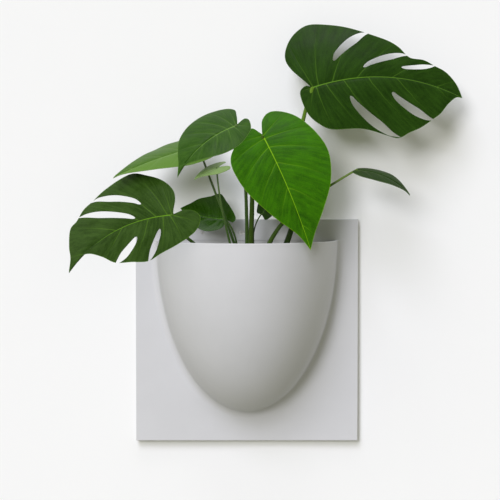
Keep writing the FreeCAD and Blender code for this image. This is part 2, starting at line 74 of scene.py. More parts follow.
# ---- the plant. A blade lies in its own plane: u runs from its base to its tip and v across it, and its
# upper face looks along "face". Margins run from the notch at the base to the tip, bow curves the midrib
# sideways, and a slit is (u, v) of its inner and outer end, its width and its sideways bend. A stalk runs
# from "root" towards "rise" and comes to the blade along "arrive", with a radius at each end.
LEAVES = {
    "left_split": dict(
        base=(-95, -128, 158), tip=(-229, -108, 83), face=(-0.15, -0.93, 0.33),
        arch=6, cup=-8, half=60, bow=-17,
        margin_a=[(-5, 1), (-16, 1), (-28, 9), (-30, 21), (-17, 33), (8, 38), (34, 39), (53, 40), (72, 31),
                  (92, 21), (104, 6), (118, -7), (132, -11), (143, -5)],
        margin_b=[(-4, -5), (-12, -18), (-14, -32), (-7, -50), (8, -67), (30, -83), (66, -80), (88, -73),
                  (104, -69), (118, -59), (130, -53), (140, -32), (145, -15)],
        slits=[((30, -33), (95, -73), 9, -7), ((44, -19), (117, -63), 9, -4), ((52, 5), (94, 23), 10, 2),
               ((21, 10), (54, 42), 8, 1)],
        root=(-33, -68, 87), rise=(-0.72, -0.05, 0.70), arrive=(0.10, -0.90, 0.42), radii=(2.6, 1.7)),
    "right_split": dict(
        base=(86, -75, 323), tip=(282, -65, 310), face=(0.05, -0.95, 0.30),
        arch=10, cup=-8, half=70, bow=18,
        margin_a=[(-9, 2), (-16, -6), (-12, -22), (-3, -38), (10, -49), (28, -56), (66, -54), (95, -60),
                  (113, -63), (127, -55), (142, -47), (158, -34), (168, -25), (177, -12), (188, -1)],
        margin_b=[(-8, 6), (-28, 25), (-37, 42), (-35, 62), (-25, 81), (-8, 94), (16, 94), (40, 91), (72, 81),
                  (95, 73), (111, 63), (125, 49), (144, 47), (159, 40), (174, 33), (188, 18)],
        slits=[((25, 38), (74, 84), 12, 6), ((64, 30), (126, 52), 9, 5), ((114, 33), (161, 41), 7, -1),
               ((102, -3), (162, -36), 11, -5), ((48, -11), (117, -62), 12, -7)],
        root=(36, -60, 86), rise=(0.52, 0.02, 0.85), arrive=(0.34, -0.10, 0.93), radii=(4.2, 2.4)),
    "front_heart": dict(
        base=(21, -88, 260), tip=(81, -138, 114), face=(0.10, -0.90, 0.40),
        arch=10, cup=5, half=60, bow=1,
        margin_a=[(-8, 2), (-23, 9), (-31, 22), (-26, 37), (-10, 52), (20, 64), (54, 68), (91, 56), (121, 35),
                  (147, 13)],
        margin_b=[(-7, -3), (-15, -9), (-13, -22), (6, -43), (23, -55), (46, -57), (76, -50), (112, -31),
                  (142, -10)],
        root=(4, -80, 86), rise=(0.05, -0.02, 1.0), arrive=(0.30, -0.10, 0.95), radii=(4.0, 2.3)),
    "mid_heart": dict(
        base=(-14, -95, 273), tip=(-88, -130, 206), face=(-0.20, -0.80, 0.55),
        arch=6, cup=-6, half=45, bow=-8,
        margin_a=[(-4, 1), (-16, -2), (-19, 4), (-11, 16), (1, 23), (22, 28), (45, 23), (68, 9), (87, -3)],
        margin_b=[(-6, -4), (-14, -14), (-20, -25), (-12, -37), (11, -48), (38, -50), (62, -42), (80, -26),
                  (92, -12)],
        root=(0, -66, 86), rise=(0.02, -0.03, 1.0), arrive=(-0.22, -0.55, 0.80), radii=(2.8, 1.8)),
    "small_gloss": dict(
        base=(-29, -50, 152), tip=(-88, -45, 166), face=(0.0, -0.85, 0.50),
        arch=-2, cup=9, half=30, bow=3,
        margin_a=[(-1, 5), (-1, 14), (7, 23), (20, 28), (34, 24), (48, 12)],
        margin_b=[(-6, 2), (-12, 4), (-14, -3), (-6, -14), (4, -23), (14, -30), (26, -25), (40, -19),
                  (51, -9)],
        root=(-10, -56, 86), rise=(-0.05, 0.0, 1.0), arrive=(-0.60, 0.15, 0.66), radii=(1.8, 1.1)),
    "small_right": dict(
        base=(143, -95, 216), tip=(208, -125, 184), face=(0.24, -0.42, 0.87),
        arch=8, cup=-3, half=20, bow=0,
        margin_a=[(-3, 3), (-3, 8), (4, 15), (18, 19), (38, 17), (56, 10), (70, 3)],
        margin_b=[(-3, -3), (-3, -8), (4, -15), (18, -19), (38, -17), (56, -10), (70, -3)],
        root=(19, -74, 86), rise=(0.16, 0.0, 0.97), arrive=(0.80, -0.30, 0.45), radii=(3.6, 1.2)),
    "pale_back": dict(
        base=(-63, -78, 246), tip=(-172, -105, 206), face=(-0.20, -0.45, 0.87),
        arch=4, cup=-4, half=35, bow=0,
        margin_a=[(-6, 4), (-18, 10), (-18, 24), (0, 36), (22, 38), (46, 33), (76, 21), (104, 6)],
        margin_b=[(-6, -4), (-18, -12), (-19, -30), (-2, -45), (22, -48), (46, -40), (76, -24), (104, -8)],
        root=(-6, -64, 86), rise=(-0.28, -0.05, 0.95), arrive=(-0.33, -0.15, 0.94), radii=(2.0, 1.3)),
    "small_pale": dict(
        base=(-39, -88, 219), tip=(-68, -100, 204), face=(-0.15, -0.40, 0.90),
        arch=1, cup=-2, half=15, bow=0,
        margin_a=[(-5, 3), (-14, 7), (-11, 14), (4, 15), (16, 11), (27, 4)],
        margin_b=[(-5, -3), (-17, -7), (-15, -16), (0, -19), (14, -14), (26, -6)],
        root=(-13, -78, 86), rise=(-0.26, -0.05, 0.97), arrive=(-0.06, -0.05, 1.0), radii=(1.8, 1.0)),
    "small_behind": dict(
        base=(20, -78, 159), tip=(46, -88, 197), face=(-0.20, -0.80, 0.50),
        arch=3, cup=-2, half=16, bow=0,
        margin_a=[(-3, 3), (-4, 9), (6, 14), (18, 15), (32, 10), (42, 4)],
        margin_b=[(-3, -3), (-4, -9), (6, -14), (18, -15), (32, -10), (42, -4)],
        root=(9, -70, 86), rise=(0.02, 0.0, 1.0), arrive=(0.50, -0.30, 0.60), radii=(1.2, 0.8)),
}

# What each leaf looks like: its material slot, its two greens, the green of its veins and of its underside,
# how rough and how glossy it is, the count of side veins on each half and how much they stand out, how much
# painted sheen pales its front half, and the stalk's slot and two greens.
LEAF_LOOKS = {
    "left_split": dict(slot="leaf_dark", deep=(27, 51, 5), light=(60, 87, 34), vein=(94, 138, 26),
                       under=(92, 118, 64), rough=0.38, gloss=0.14, veins=7, marked=0.40,
                       stalk=("stalk_green", (44, 70, 18), (72, 104, 26))),
    "right_split": dict(slot="leaf_bright", deep=(14, 40, 0), light=(38, 70, 10), vein=(88, 128, 36),
                        under=(88, 114, 60), rough=0.42, gloss=0.12, veins=7, marked=0.42,
                        stalk=("stalk_thick", (32, 54, 6), (100, 134, 36))),
    "front_heart": dict(slot="leaf_mid", deep=(26, 71, 0), light=(56, 115, 0), vein=(128, 172, 24),
                        under=(104, 148, 56), rough=0.46, gloss=0.08, veins=7, marked=0.30,
                        stalk=("stalk_sheathed", (46, 68, 8), (66, 96, 24))),
    "mid_heart": dict(slot="leaf_gloss", deep=(26, 61, 2), light=(58, 95, 24), vein=(106, 142, 62),
                      under=(104, 134, 76), rough=0.40, gloss=0.14, veins=7, marked=0.34,
                      stalk=("stalk_green", (52, 76, 26), (84, 106, 52))),
    "small_gloss": dict(slot="leaf_dark_small", deep=(26, 60, 0), light=(48, 84, 14), vein=(66, 108, 26),
                        under=(70, 104, 44), rough=0.30, gloss=0.55, veins=5, marked=0.20,
                        stalk=("stalk_green", (48, 76, 20), (80, 108, 44))),
    "small_right": dict(slot="leaf_pale", deep=(22, 46, 2), light=(36, 62, 10), vein=(78, 108, 44),
                        under=(96, 118, 72), rough=0.42, gloss=0.12, veins=5, marked=0.20,
                        stalk=("stalk_sheathed", (60, 84, 26), (106, 130, 58))),
    "pale_back": dict(slot="leaf_pale_small", deep=(50, 92, 12), light=(84, 118, 42), vein=(138, 166, 98),
                      under=(132, 154, 104), rough=0.48, gloss=0.06, veins=6, marked=0.30, painted_sheen_half=0.7,
                      stalk=("stalk_green", (52, 80, 28), (92, 112, 58))),
    # small_pale's greens are painted paler than the leaf is: painted light that makes up for the shade the
    # leaves above throw on it.
    "small_pale": dict(slot="leaf_pale", deep=(118, 148, 78), light=(142, 168, 104), vein=(152, 176, 116),
                       under=(126, 146, 100), rough=0.48, gloss=0.06, veins=4, marked=0.20,
                       stalk=("stalk_green", (56, 82, 30), (92, 116, 60))),
    "small_behind": dict(slot="leaf_shade", deep=(28, 56, 6), light=(42, 70, 14), vein=(66, 96, 36),
                         under=(80, 104, 54), rough=0.38, gloss=0.24, veins=4, marked=0.20,
                         stalk=("stalk_green", (44, 70, 18), (66, 96, 34))),
}


# ---- settings
def size_setting(name, description, millimetres, low=0.0):
    return bpy.props.FloatProperty(name=name, description=description, default=millimetres * MM,
                                   min=low * MM, unit="LENGTH", precision=4)


def colour_setting(name, description, colour):
    return bpy.props.FloatVectorProperty(name=name, description=description, default=tint(*colour), size=3,
                                         min=0.0, max=1.0, subtype="COLOR")


def share_setting(name, description, share):
    return bpy.props.FloatProperty(name=name, description=description, default=share, min=0.0, max=1.0,
                                   subtype="FACTOR")


class PlanterSettings(bpy.types.PropertyGroup):
    """Sizes and colours of the planter's own pieces."""
    shell_colour: colour_setting("Shell colour", "Colour of the panel and the pocket", (209, 209, 208))
    plate_colour: colour_setting("Back plate colour", "Colour of the back plate", (206, 206, 203))
    foam_colour: colour_setting("Foam colour", "Colour of the seal round the pocket", (46, 46, 48))
    screw_colour: colour_setting("Screw colour", "Colour of the plated screws", (196, 196, 192))
    pad_colour: colour_setting("Pad colour", "Colour of the rubber pads", (52, 52, 54))
    shell_roughness: share_setting("Shell roughness", "How matt the panel and the pocket are", 0.46)
    grain_size: size_setting("Grain size", "Size of the mould's fine grain on the plastic", 0.5, 0.1)
    pad_radius: size_setting("Pad radius", "Radius of a rubber pad", 8.0, 2.0)


class PotSettings(bpy.types.PropertyGroup):
    """Sizes and colours of what stands in the pocket."""
    clay_colour: colour_setting("Clay colour", "Colour of the fired clay pebbles", (158, 92, 62))
    pot_colour: colour_setting("Pot colour", "Colour of the nursery pot", (34, 34, 35))
    soil_colour: colour_setting("Soil colour", "Colour of the moist soil", (44, 32, 24))
    pebble_radius: size_setting("Pebble radius", "Radius of the largest clay pebble", 10.0, 3.0)
    crumbs: bpy.props.IntProperty(name="Crumbs", description="Loose crumbs and grit on the soil", default=150,
                                  min=0, max=400)


class PlantSettings(bpy.types.PropertyGroup):
    """Sizes of the plant's leaves and stalks. Each leaf's greens are in LEAF_LOOKS."""
    blade_thickness: size_setting("Blade thickness", "Thickness of a leaf blade", 0.6, 0.2)
    vein_depth: size_setting("Vein depth", "How deep a side vein lies in a blade's upper face", 0.18)
    quilting: size_setting("Quilting", "How much a blade swells between its side veins", 0.35)
    ripple: size_setting("Ripple", "How much a blade's margin waves", 1.2)
    columns: bpy.props.IntProperty(name="Columns", description="Faces along a margin of the longest blade",
                                   default=240, min=40, max=400)


class StageSettings(bpy.types.PropertyGroup):
    """The wall, the floor, the lamps and the camera."""
    wall_colour: colour_setting("Wall colour", "Colour of the wall behind the planter", (248, 248, 244))
    lamp_strength: bpy.props.FloatProperty(name="Lamp strength", description="Scales every lamp",
                                           default=1.0, min=0.0)
    room_strength: bpy.props.FloatProperty(name="Room strength", description="Brightness of the white room",
                                           default=0.26, min=0.0)
    camera_distance: bpy.props.FloatProperty(name="Camera distance", description="Distance from the wall",
                                             default=2.0, min=0.5, unit="LENGTH")


# ---- materials
class Value:
    """A socket of a material's nodes that takes part in Python expressions."""

    def __init__(self, finish, socket):
        self.finish = finish
        self.socket = socket

    def __add__(self, other):
        return self.finish.maths("ADD", self, other)

    def __sub__(self, other):
        return self.finish.maths("SUBTRACT", self, other)

    def __rsub__(self, other):
        return self.finish.maths("SUBTRACT", other, self)

    def __mul__(self, other):
        return self.finish.maths("MULTIPLY", self, other)

    def __truediv__(self, other):
        return self.finish.maths("DIVIDE", self, other)

    def __pow__(self, other):
        return self.finish.maths("POWER", self, other)

    def __abs__(self):
        return self.finish.maths("ABSOLUTE", self)

    def fraction(self):
        return self.finish.maths("FRACT", self)

    def at_least(self, other):
        return self.finish.maths("MAXIMUM", self, other)

    __radd__ = __add__
    __rmul__ = __mul__


class Finish:
    """A material built on one Principled shader. Constants go straight to the shader's sockets."""

    def __init__(self, name, **constants):
        self.material = bpy.data.materials.new(name)
        self.material.use_nodes = True
        self.tree = self.material.node_tree
        self.shader = self.tree.nodes["Principled BSDF"]
        for socket, value in constants.items():
            self.shader.inputs[socket.replace("_", " ").title().replace("Ior", "IOR")].default_value = value

    def node(self, kind, settings=None, inputs=None, output=0):
        """Adds a node, sets its settings, then the values or links of its sockets."""
        node = self.tree.nodes.new(kind)
        for name, value in (settings or {}).items():
            setattr(node, name, value)
        for key, value in (inputs or {}).items():
            if isinstance(value, Value):
                self.tree.links.new(value.socket, node.inputs[key])
            else:
                node.inputs[key].default_value = value
        return Value(self, node.outputs[output])

    def maths(self, operation, *values):
        return self.node("ShaderNodeMath", {"operation": operation}, dict(enumerate(values)))

    def times(self, vector, factors):
        """A vector multiplied by a factor along each axis."""
        return self.node("ShaderNodeVectorMath", {"operation": "MULTIPLY"}, {0: vector, 1: factors})

    def stretched(self, scale):
        """Object coordinates in millimetres divided by a size along each axis."""
        place = self.node("ShaderNodeTexCoord", output="Object")
        return self.times(place, tuple(1 / (MM * size) for size in scale))

    def own_map(self, name):
        """One of the piece's own maps as a vector, and its two coordinates."""
        vector = self.node("ShaderNodeUVMap", {"uv_map": name})
        parts = self.node("ShaderNodeSeparateXYZ", None, {0: vector}).socket.node
        return vector, Value(self, parts.outputs[0]), Value(self, parts.outputs[1])

    def noise(self, vector, detail=3.0, roughness=0.55):
        """Noise from about 0 to 1 whose blobs are about one unit of the vector."""
        return self.node("ShaderNodeTexNoise", None,
                         {"Vector": vector, "Scale": 1.0, "Detail": detail, "Roughness": roughness})

    def grain(self, size, detail=3.0, roughness=0.55):
        """Noise whose blobs are about size millimetres across."""
        return self.noise(self.stretched((size, size, size)), detail, roughness)

    def cells(self, size, feature="F1"):
        """Distances in a pattern of cells about size millimetres across."""
        return self.node("ShaderNodeTexVoronoi", {"feature": feature},
                         {"Vector": self.stretched((size, size, size)), "Scale": 1.0}, "Distance")

    def between(self, value, low, high):
        """0 below low, 1 above high, and a smooth rise from one to the other."""
        return self.node("ShaderNodeMapRange", {"interpolation_type": "SMOOTHSTEP"},
                         {"Value": value, "From Min": low, "From Max": high})

    def blend(self, first, second, share):
        """A colour between two colours."""
        pair = {0: share}
        for index, colour in ((6, first), (7, second)):
            pair[index] = colour if isinstance(colour, Value) else (*colour[:3], 1)
        return self.node("ShaderNodeMix", {"data_type": "RGBA"}, pair, 2)

    def layered(self, colour, *layers):
        """A colour with others laid over it, each with its share."""
        for layer, share in layers:
            colour = self.blend(colour, layer, share)
        return colour

    def feed(self, socket, value):
        self.tree.links.new(value.socket, self.shader.inputs[socket])

    def emboss(self, height, millimetres):
        """Bump whose height of 0 to 1 stands for so many millimetres."""
        self.feed("Normal", self.node("ShaderNodeBump", None,
                                      {"Height": height, "Distance": millimetres * MM, "Strength": 1.0}))


def plastic_finish(name, colour, roughness, grain_mm, dust=0.0):
    """Moulded plastic: a fine even grain, a faint cloudiness and a slight wear of the gloss."""
    finish = Finish(name, specular_ior_level=0.42)
    cloud = finish.grain(46, 2)
    speck = finish.grain(grain_mm, 2, 0.6)
    fine = finish.grain(grain_mm * 3.1, 2, 0.5)
    shade = finish.blend(scaled(colour, 0.985), scaled(colour, 1.008), finish.between(cloud, 0.3, 0.7))
    if dust:
        settled = finish.between(finish.grain(9, 4, 0.65), 0.52, 0.72) * dust
        shade = finish.blend(shade, tint(206, 202, 194), settled)
    finish.feed("Base Color", finish.blend(shade, scaled(colour, 0.9),
                                           finish.between(speck, 0.6, 0.8) * 0.12))
    finish.feed("Roughness", (cloud - 0.5) * 0.06 + (fine - 0.5) * 0.10 + roughness)
    finish.emboss(speck * 0.7 + fine * 0.3, 0.025)
    return finish.material


def foam_finish(settings):
    """Closed-cell foam rubber."""
    finish = Finish("foam_rubber", roughness=0.9, specular_ior_level=0.25)
    cell = finish.cells(0.9)
    finish.feed("Base Color", finish.blend(scaled(settings.foam_colour, 0.55),
                                           settings.foam_colour, finish.between(cell, 0.15, 0.55)))
    finish.emboss(cell * 0.8 + finish.grain(4) * 0.4, 0.25)
    return finish.material


def steel_finish(settings):
    """Zinc-plated steel with faint turning marks."""
    finish = Finish("screw_steel", metallic=1.0)
    streak = finish.noise(finish.stretched((0.4, 3.0, 0.4)))
    patch = finish.grain(2.2)
    finish.feed("Base Color", finish.blend(scaled(settings.screw_colour, 0.72),
                                           settings.screw_colour, finish.between(patch, 0.3, 0.7)))
    finish.feed("Roughness", streak * 0.18 + patch * 0.10 + 0.18)
    finish.emboss(streak, 0.02)
    return finish.material


def rubber_finish(settings):
    """Matt rubber with a little chalky bloom."""
    finish = Finish("pad_rubber", specular_ior_level=0.3)
    bloom = finish.between(finish.grain(3.5, 4), 0.45, 0.75)
    finish.feed("Base Color", finish.blend(settings.pad_colour, tint(96, 96, 98), bloom * 0.35))
    finish.feed("Roughness", bloom * 0.15 + 0.62)
    finish.emboss(finish.grain(0.5), 0.06)
    return finish.material


def clay_finish(settings):
    """Fired clay pebbles: a rust-brown crust with pores and pale dust."""
    finish = Finish("fired_clay", roughness=0.88, specular_ior_level=0.3)
    patch = finish.grain(14, 3)
    pore = finish.cells(1.5)
    crust = finish.blend(scaled(settings.clay_colour, 0.62), settings.clay_colour,
                         finish.between(patch, 0.32, 0.66))
    pores = 1 - finish.between(pore, 0.10, 0.34)
    crust = finish.blend(crust, tint(58, 34, 24), pores * 0.75)
    dusty = finish.between(finish.grain(5, 5, 0.7), 0.54, 0.74)
    finish.feed("Base Color", finish.blend(crust, tint(196, 160, 134), dusty * 0.5))
    finish.emboss(1 - pores * 0.7 + finish.grain(1.1, 4) * 0.5, 0.5)
    return finish.material


def soil_finish(settings):
    """Moist potting soil with fibres and crumbs."""
    finish = Finish("soil", specular_ior_level=0.25)
    clump = finish.grain(7, 5, 0.68)
    fibre = finish.noise(finish.stretched((0.7, 5.0, 1.2)), 4)
    crumb = finish.cells(2.4)
    earth = finish.blend(scaled(settings.soil_colour, 0.45), settings.soil_colour,
                         finish.between(clump, 0.34, 0.68))
    earth = finish.blend(earth, tint(104, 78, 54), finish.between(fibre, 0.62, 0.74) * 0.6)
    finish.feed("Base Color", earth)
    finish.feed("Roughness", clump * 0.2 + 0.72)
    finish.emboss(clump * 0.8 + crumb * 0.6 + fibre * 0.3, 1.2)
    return finish.material


def grit_finish():
    """Loose crumbs on the soil: bark chips and white perlite, told apart by the piece's own attribute."""
    finish = Finish("soil_grit", roughness=0.85, specular_ior_level=0.25)
    white = finish.node("ShaderNodeAttribute", {"attribute_name": "white"}, None, "Fac")
    bark = finish.blend(tint(52, 36, 26), tint(98, 70, 48), finish.between(finish.grain(1.6), 0.35, 0.65))
    stone = finish.blend(tint(204, 200, 190), tint(236, 234, 228), finish.grain(0.8))
    finish.feed("Base Color", finish.blend(bark, stone, white))
    finish.emboss(finish.cells(0.7), 0.25)
    return finish.material


def blade_finish(name, look, upper):
    """A leaf's skin. The "fan" map runs along the margin, in side veins, and across from the midrib. The
    "ribs" map holds the distance from the midrib and the room per side vein, in tenths of a metre."""
    finish = Finish("%s_%s" % (name, "upper" if upper else "under"), specular_ior_level=0.14,
                    coat_roughness=0.18 if look["gloss"] > 0.4 else 0.32)
    fan_map, fan, across = finish.own_map("fan")
    _, ribs, spacing = finish.own_map("ribs")
    phase, from_rib, room = fan * 10, ribs * 100, spacing * 100
    reach = abs(across)
    wander = (finish.grain(16, 2) - 0.5) * 0.10
    to_vein = abs((phase + wander).fraction() - 0.5) * room
    to_edge = from_rib * (1 - reach) / reach.at_least(0.05)
    along_veins = finish.times(fan_map, (75, 2.2, 1))

    deep, light = tint(*look["deep"]), tint(*look["light"])
    vein, under = tint(*look["vein"]), tint(*look["under"])
    mottle = finish.between(finish.grain(34, 3, 0.6), 0.30, 0.70)
    # Streaks along the veins: partly the leaf's own fine striations, partly a painted sheen along the side
    # veins on the upper face.
    streaks_and_sheen = finish.between(finish.noise(along_veins, 3, 0.6), 0.30, 0.72)
    speck = finish.between(finish.grain(2.6, 4, 0.7), 0.35, 0.70)
    net_line = 1 - finish.between(finish.cells(2.1, "DISTANCE_TO_EDGE"), 0.02, 0.16)
    vein_width = (1 - reach) * 0.45 + 0.16
    on_vein = (1 - finish.between(to_vein, vein_width * 0.3, vein_width * 1.7)) * ((1 - reach) ** 0.7)
    # Painted sheen: a lighter band beside each side vein, where the swollen skin between veins catches light.
    sheen_beside_vein = (1 - finish.between(to_vein, 0.5, 4.5)) * (1 - reach)
    rib_width = (1 - finish.between(phase, 0.0, 4.0)) * 0.35 + 0.60
    on_rib = 1 - finish.between(from_rib, rib_width * 0.5, rib_width * 1.6)
    on_edge = 1 - finish.between(to_edge, 0.2, 0.8)

    if upper:
        skin = finish.layered(deep, (light, mottle * 0.36 + streaks_and_sheen * 0.50 + speck * 0.10),
                              (light, sheen_beside_vein * 0.30))
        # Painted sheen: the front half, which slopes down and forward, is painted paler, as a sheen would
        # make it.
        if "painted_sheen_half" in look:
            front_half_sheen = finish.between(across, -0.04, 0.04)
            skin = finish.blend(skin, scaled(light, 1.36), front_half_sheen * look["painted_sheen_half"])
        skin = finish.layered(skin, (vein, net_line * 0.06), (vein, on_vein * look["marked"]),
                              (scaled(vein, 1.2), on_rib * 0.85), (scaled(vein, 1.1), on_edge * 0.45))
        finish.feed("Roughness", mottle * 0.08 + streaks_and_sheen * 0.08 + speck * 0.06 + (look["rough"] - 0.10))
        finish.feed("Coat Weight", (1 - on_rib * 0.5) * look["gloss"])
        relief = (1 - net_line) * 0.12 + streaks_and_sheen * 0.35 + speck * 0.12 - on_vein * 0.5
    else:
        skin = finish.layered(under, (scaled(under, 1.18), mottle * 0.6 + streaks_and_sheen * 0.3),
                              (scaled(under, 1.3), on_vein * 0.7), (scaled(under, 1.45), on_rib * 0.9),
                              (scaled(under, 0.8), net_line * 0.20))
        finish.feed("Roughness", streaks_and_sheen * 0.12 + 0.5)
        relief = net_line * 0.2 + on_vein * 0.8 + streaks_and_sheen * 0.25
    finish.feed("Base Color", skin)
    finish.emboss(relief, 0.20)
    return finish.material


def stalk_finish(name, look):
    """A leaf stalk: fine lengthwise fibres and pale flecks, dark in the pot and lighter towards the blade."""
    _, low, high = look["stalk"]
    finish = Finish("%s_stalk" % name, specular_ior_level=0.25, coat_weight=0.06, coat_roughness=0.3)
    tube, _, height = finish.own_map("tube")
    fibre = finish.noise(finish.times(tube, (26, 9, 1)), 4, 0.65)
    fleck = 1 - finish.between(finish.cells(1.6), 0.10, 0.26)
    rise = finish.between(height, 0.25, 1.0)
    green = finish.blend(tint(*low), tint(*high), rise * 0.9 + (fibre - 0.5) * 0.5)
    green = finish.blend(green, tint(150, 170, 108), fleck * 0.22)
    foot = 1 - finish.between(height, 0.0, 0.12)
    finish.feed("Base Color", finish.blend(green, tint(96, 84, 52), foot * 0.5))
    finish.feed("Roughness", fibre * 0.2 + 0.34)
    finish.emboss(fibre * 0.8 + fleck * 0.3, 0.18)
    return finish.material


# ---- shaping
def alone(obj):
    """Makes an object the only selected one, and the active one."""
    bpy.ops.object.select_all(action="DESELECT")
    obj.select_set(True)
    bpy.context.view_layer.objects.active = obj
    return obj


def added(name, primitive, **settings):
    """Adds a primitive by its operator, with everything else deselected, and names it."""
    bpy.ops.object.select_all(action="DESELECT")
    primitive(**settings)
    obj = bpy.context.object
    obj.name = obj.data.name = name
    return obj


def in_edit_mode(obj, *steps):
    """Runs mesh operators in edit mode on the whole mesh, each step a function."""
    alone(obj)
    bpy.ops.object.mode_set(mode="EDIT")
    bpy.ops.mesh.select_all(action="SELECT")
    for step in steps:
        step()
    bpy.ops.object.mode_set(mode="OBJECT")


def merge_doubles():
    bpy.ops.mesh.remove_doubles(threshold=0.01 * MM)


def face_outwards():
    bpy.ops.mesh.normals_make_consistent(inside=False)


def modify(obj, kind, **settings):
    """Adds a modifier and applies it."""
    alone(obj)
    modifier = obj.modifiers.new(kind.title(), kind)
    for name, value in settings.items():
        setattr(modifier, name, value)
    bpy.ops.object.modifier_apply(modifier=modifier.name)


def smooth(obj, degrees):
    alone(obj)
    bpy.ops.object.shade_smooth_by_angle(angle=math.radians(degrees))


def settle(obj):
    """Puts a piece's place, turn and scale into its mesh."""
    alone(obj)
    bpy.ops.object.transform_apply(location=True, rotation=True, scale=True)


def own_copy(obj):
    """A copy of an object with a mesh of its own."""
    copy = obj.copy()
    copy.data = obj.data.copy()
    bpy.context.scene.collection.objects.link(copy)
    return copy


def joined(name, pieces):
    bpy.ops.object.select_all(action="DESELECT")
    for piece in pieces:
        piece.select_set(True)
    bpy.context.view_layer.objects.active = pieces[0]
    bpy.ops.object.join()
    obj = bpy.context.object
    obj.name = obj.data.name = name
    return obj


def paint(obj, *materials):
    obj.data.materials.clear()
    for material in materials:
        obj.data.materials.append(material)


def finished(obj, body, slot, *nodes):
    """Parents a piece to the empty of the body it rides on and hides the nodes it stands for. The slot is not
    used.
    """
    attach(obj, body)
    if nodes:
        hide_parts(*nodes)
    return obj


def dressed_copy(node, name, slot, material, degrees=30, round_mm=0.0):
    """A copy of a planter node's mesh in its finish, merged and smoothed, its sharp edges eased if asked."""
    obj = bpy.data.objects.new(name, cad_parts[node].data.copy())
    obj.data.name = name
    bpy.context.scene.collection.objects.link(obj)
    in_edit_mode(obj, merge_doubles, lambda: bpy.ops.mesh.dissolve_limited(angle_limit=math.radians(0.4)))
    if round_mm:
        modify(obj, "BEVEL", width=round_mm * MM, segments=2, limit_method="ANGLE",
               angle_limit=math.radians(degrees + 10), harden_normals=False)
    smooth(obj, degrees)
    modify(obj, "WEIGHTED_NORMAL", keep_sharp=True)
    paint(obj, material)
    finished(obj, "planter", slot, node)


def turned_piece(name, centre, outline, segments):
    """A turned piece: a circle that is raised and widened, ring by ring, along an outline of (radius,
    height), with its first and last rings filled."""
    x, y = centre
    radius, height = outline[0]
    obj = added(name, bpy.ops.mesh.primitive_circle_add, vertices=segments, radius=radius * MM,
                fill_type="NGON", location=(x * MM, y * MM, height * MM))
    bpy.ops.object.mode_set(mode="EDIT")
    bpy.ops.mesh.select_mode(type="EDGE")
    bpy.ops.mesh.select_all(action="SELECT")
    for (radius, height), (next_radius, next_height) in zip(outline, outline[1:]):
        bpy.ops.mesh.extrude_edges_move(
            TRANSFORM_OT_translate={"value": (0, 0, (next_height - height) * MM)})
        share = next_radius / radius
        bpy.ops.transform.resize(value=(share, share, 1), center_override=(x * MM, y * MM, next_height * MM))
    bpy.ops.mesh.edge_face_add()
    bpy.ops.object.mode_set(mode="OBJECT")
    settle(obj)
    return obj


# ---- planter
class PLANTER_OT_front_shell(bpy.types.Operator):
    """Panel and pocket in one moulding, with its satin grey finish"""
    bl_idname = "planter.front_shell"
    bl_label = "Front shell"

    def execute(self, context):
        settings = context.scene.planter
        plastic = plastic_finish("planter_plastic", settings.shell_colour, settings.shell_roughness,
                                 settings.grain_size / MM)
        dressed_copy("front_shell", "moulded_shell", "planter_plastic", plastic, 32)
        return {"FINISHED"}


class PLANTER_OT_back_plate(bpy.types.Operator):
    """Back plate, its foam seal and its screws"""
    bl_idname = "planter.back_plate"
    bl_label = "Back plate, seal and screws"

    def execute(self, context):
        settings = context.scene.planter
        plastic = plastic_finish("plate_plastic", settings.plate_colour, 0.42, settings.grain_size / MM, 0.12)
        dressed_copy("back_plate", "ribbed_back_plate", "plate_plastic", plastic)
        dressed_copy("pocket_gasket", "foam_seal", "foam_rubber", foam_finish(settings), round_mm=0.4)
        dressed_copy("cover_screws", "pan_head_screws", "screw_steel", steel_finish(settings), round_mm=0.25)
        return {"FINISHED"}


class PLANTER_OT_wall_pads(bpy.types.Operator):
    """Four dished rubber pads against the wall"""
    bl_idname = "planter.wall_pads"
    bl_label = "Wall pads"

    def execute(self, context):
        settings = context.scene.planter
        low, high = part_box("wall_pads")
        radius = settings.pad_radius / MM
        depth = (high.y - low.y) / MM
        outline = [(radius - 0.2, 0), (radius, 0.2), (radius, depth - 0.7), (radius - 0.7, depth),
                   (radius * 0.72, depth), (radius * 0.66, depth - 0.5), (radius * 0.56, depth - 0.5),
                   (radius * 0.50, depth), (radius * 0.30, depth), (radius * 0.24, depth - 0.5),
                   (radius * 0.12, depth - 0.5)]
        pads = [turned_piece("pad", (0, 0), outline, 40)]
        pads[0].rotation_euler = Euler((-math.pi / 2, 0, 0))
        settle(pads[0])
        reach = (high.x - low.x) / 2 - settings.pad_radius, (high.z - low.z) / 2 - settings.pad_radius
        for x, z in ((-1, -1), (-1, 1), (1, -1), (1, 1)):
            pad = own_copy(pads[0])
            pad.location = (x * reach[0], low.y, z * reach[1])
            settle(pad)
            pads.append(pad)
        bpy.data.objects.remove(pads.pop(0))
        obj = joined("rubber_pads", pads)
        in_edit_mode(obj, face_outwards)
        smooth(obj, 35)
        paint(obj, rubber_finish(settings))
        finished(obj, "planter", "pad_rubber", "wall_pads")
        return {"FINISHED"}


# ---- what stands in the pocket, whose inside is half of an ellipsoid round its centre
POCKET_AXES_MM = (118.5, 135.5, 228.5)
POCKET_CENTRE_MM = (0.0, -12.0, 122.0)
PLATE_FRONT_MM = -11.0
PEBBLE_PITCH_MM = 20.4
PEBBLE_TOP_MM = -24.4
PEBBLE_LAYERS, PEBBLE_ROWS, PEBBLE_COLUMNS = 5, 8, 15
PEBBLE_SHELL_GAP_MM = 1.2
PEBBLE_PLATE_GAP_MM = 0.4
POT_CENTRE_MM = (0.0, -73.0)
DRAINS = 6
DRAIN_CIRCLE_MM = 27
DRAIN_RADIUS_MM = 4
SOIL_RADIUS_MM = 54
SOIL_TOP_MM = 88.0
CRUMB_REACH_MM = 51


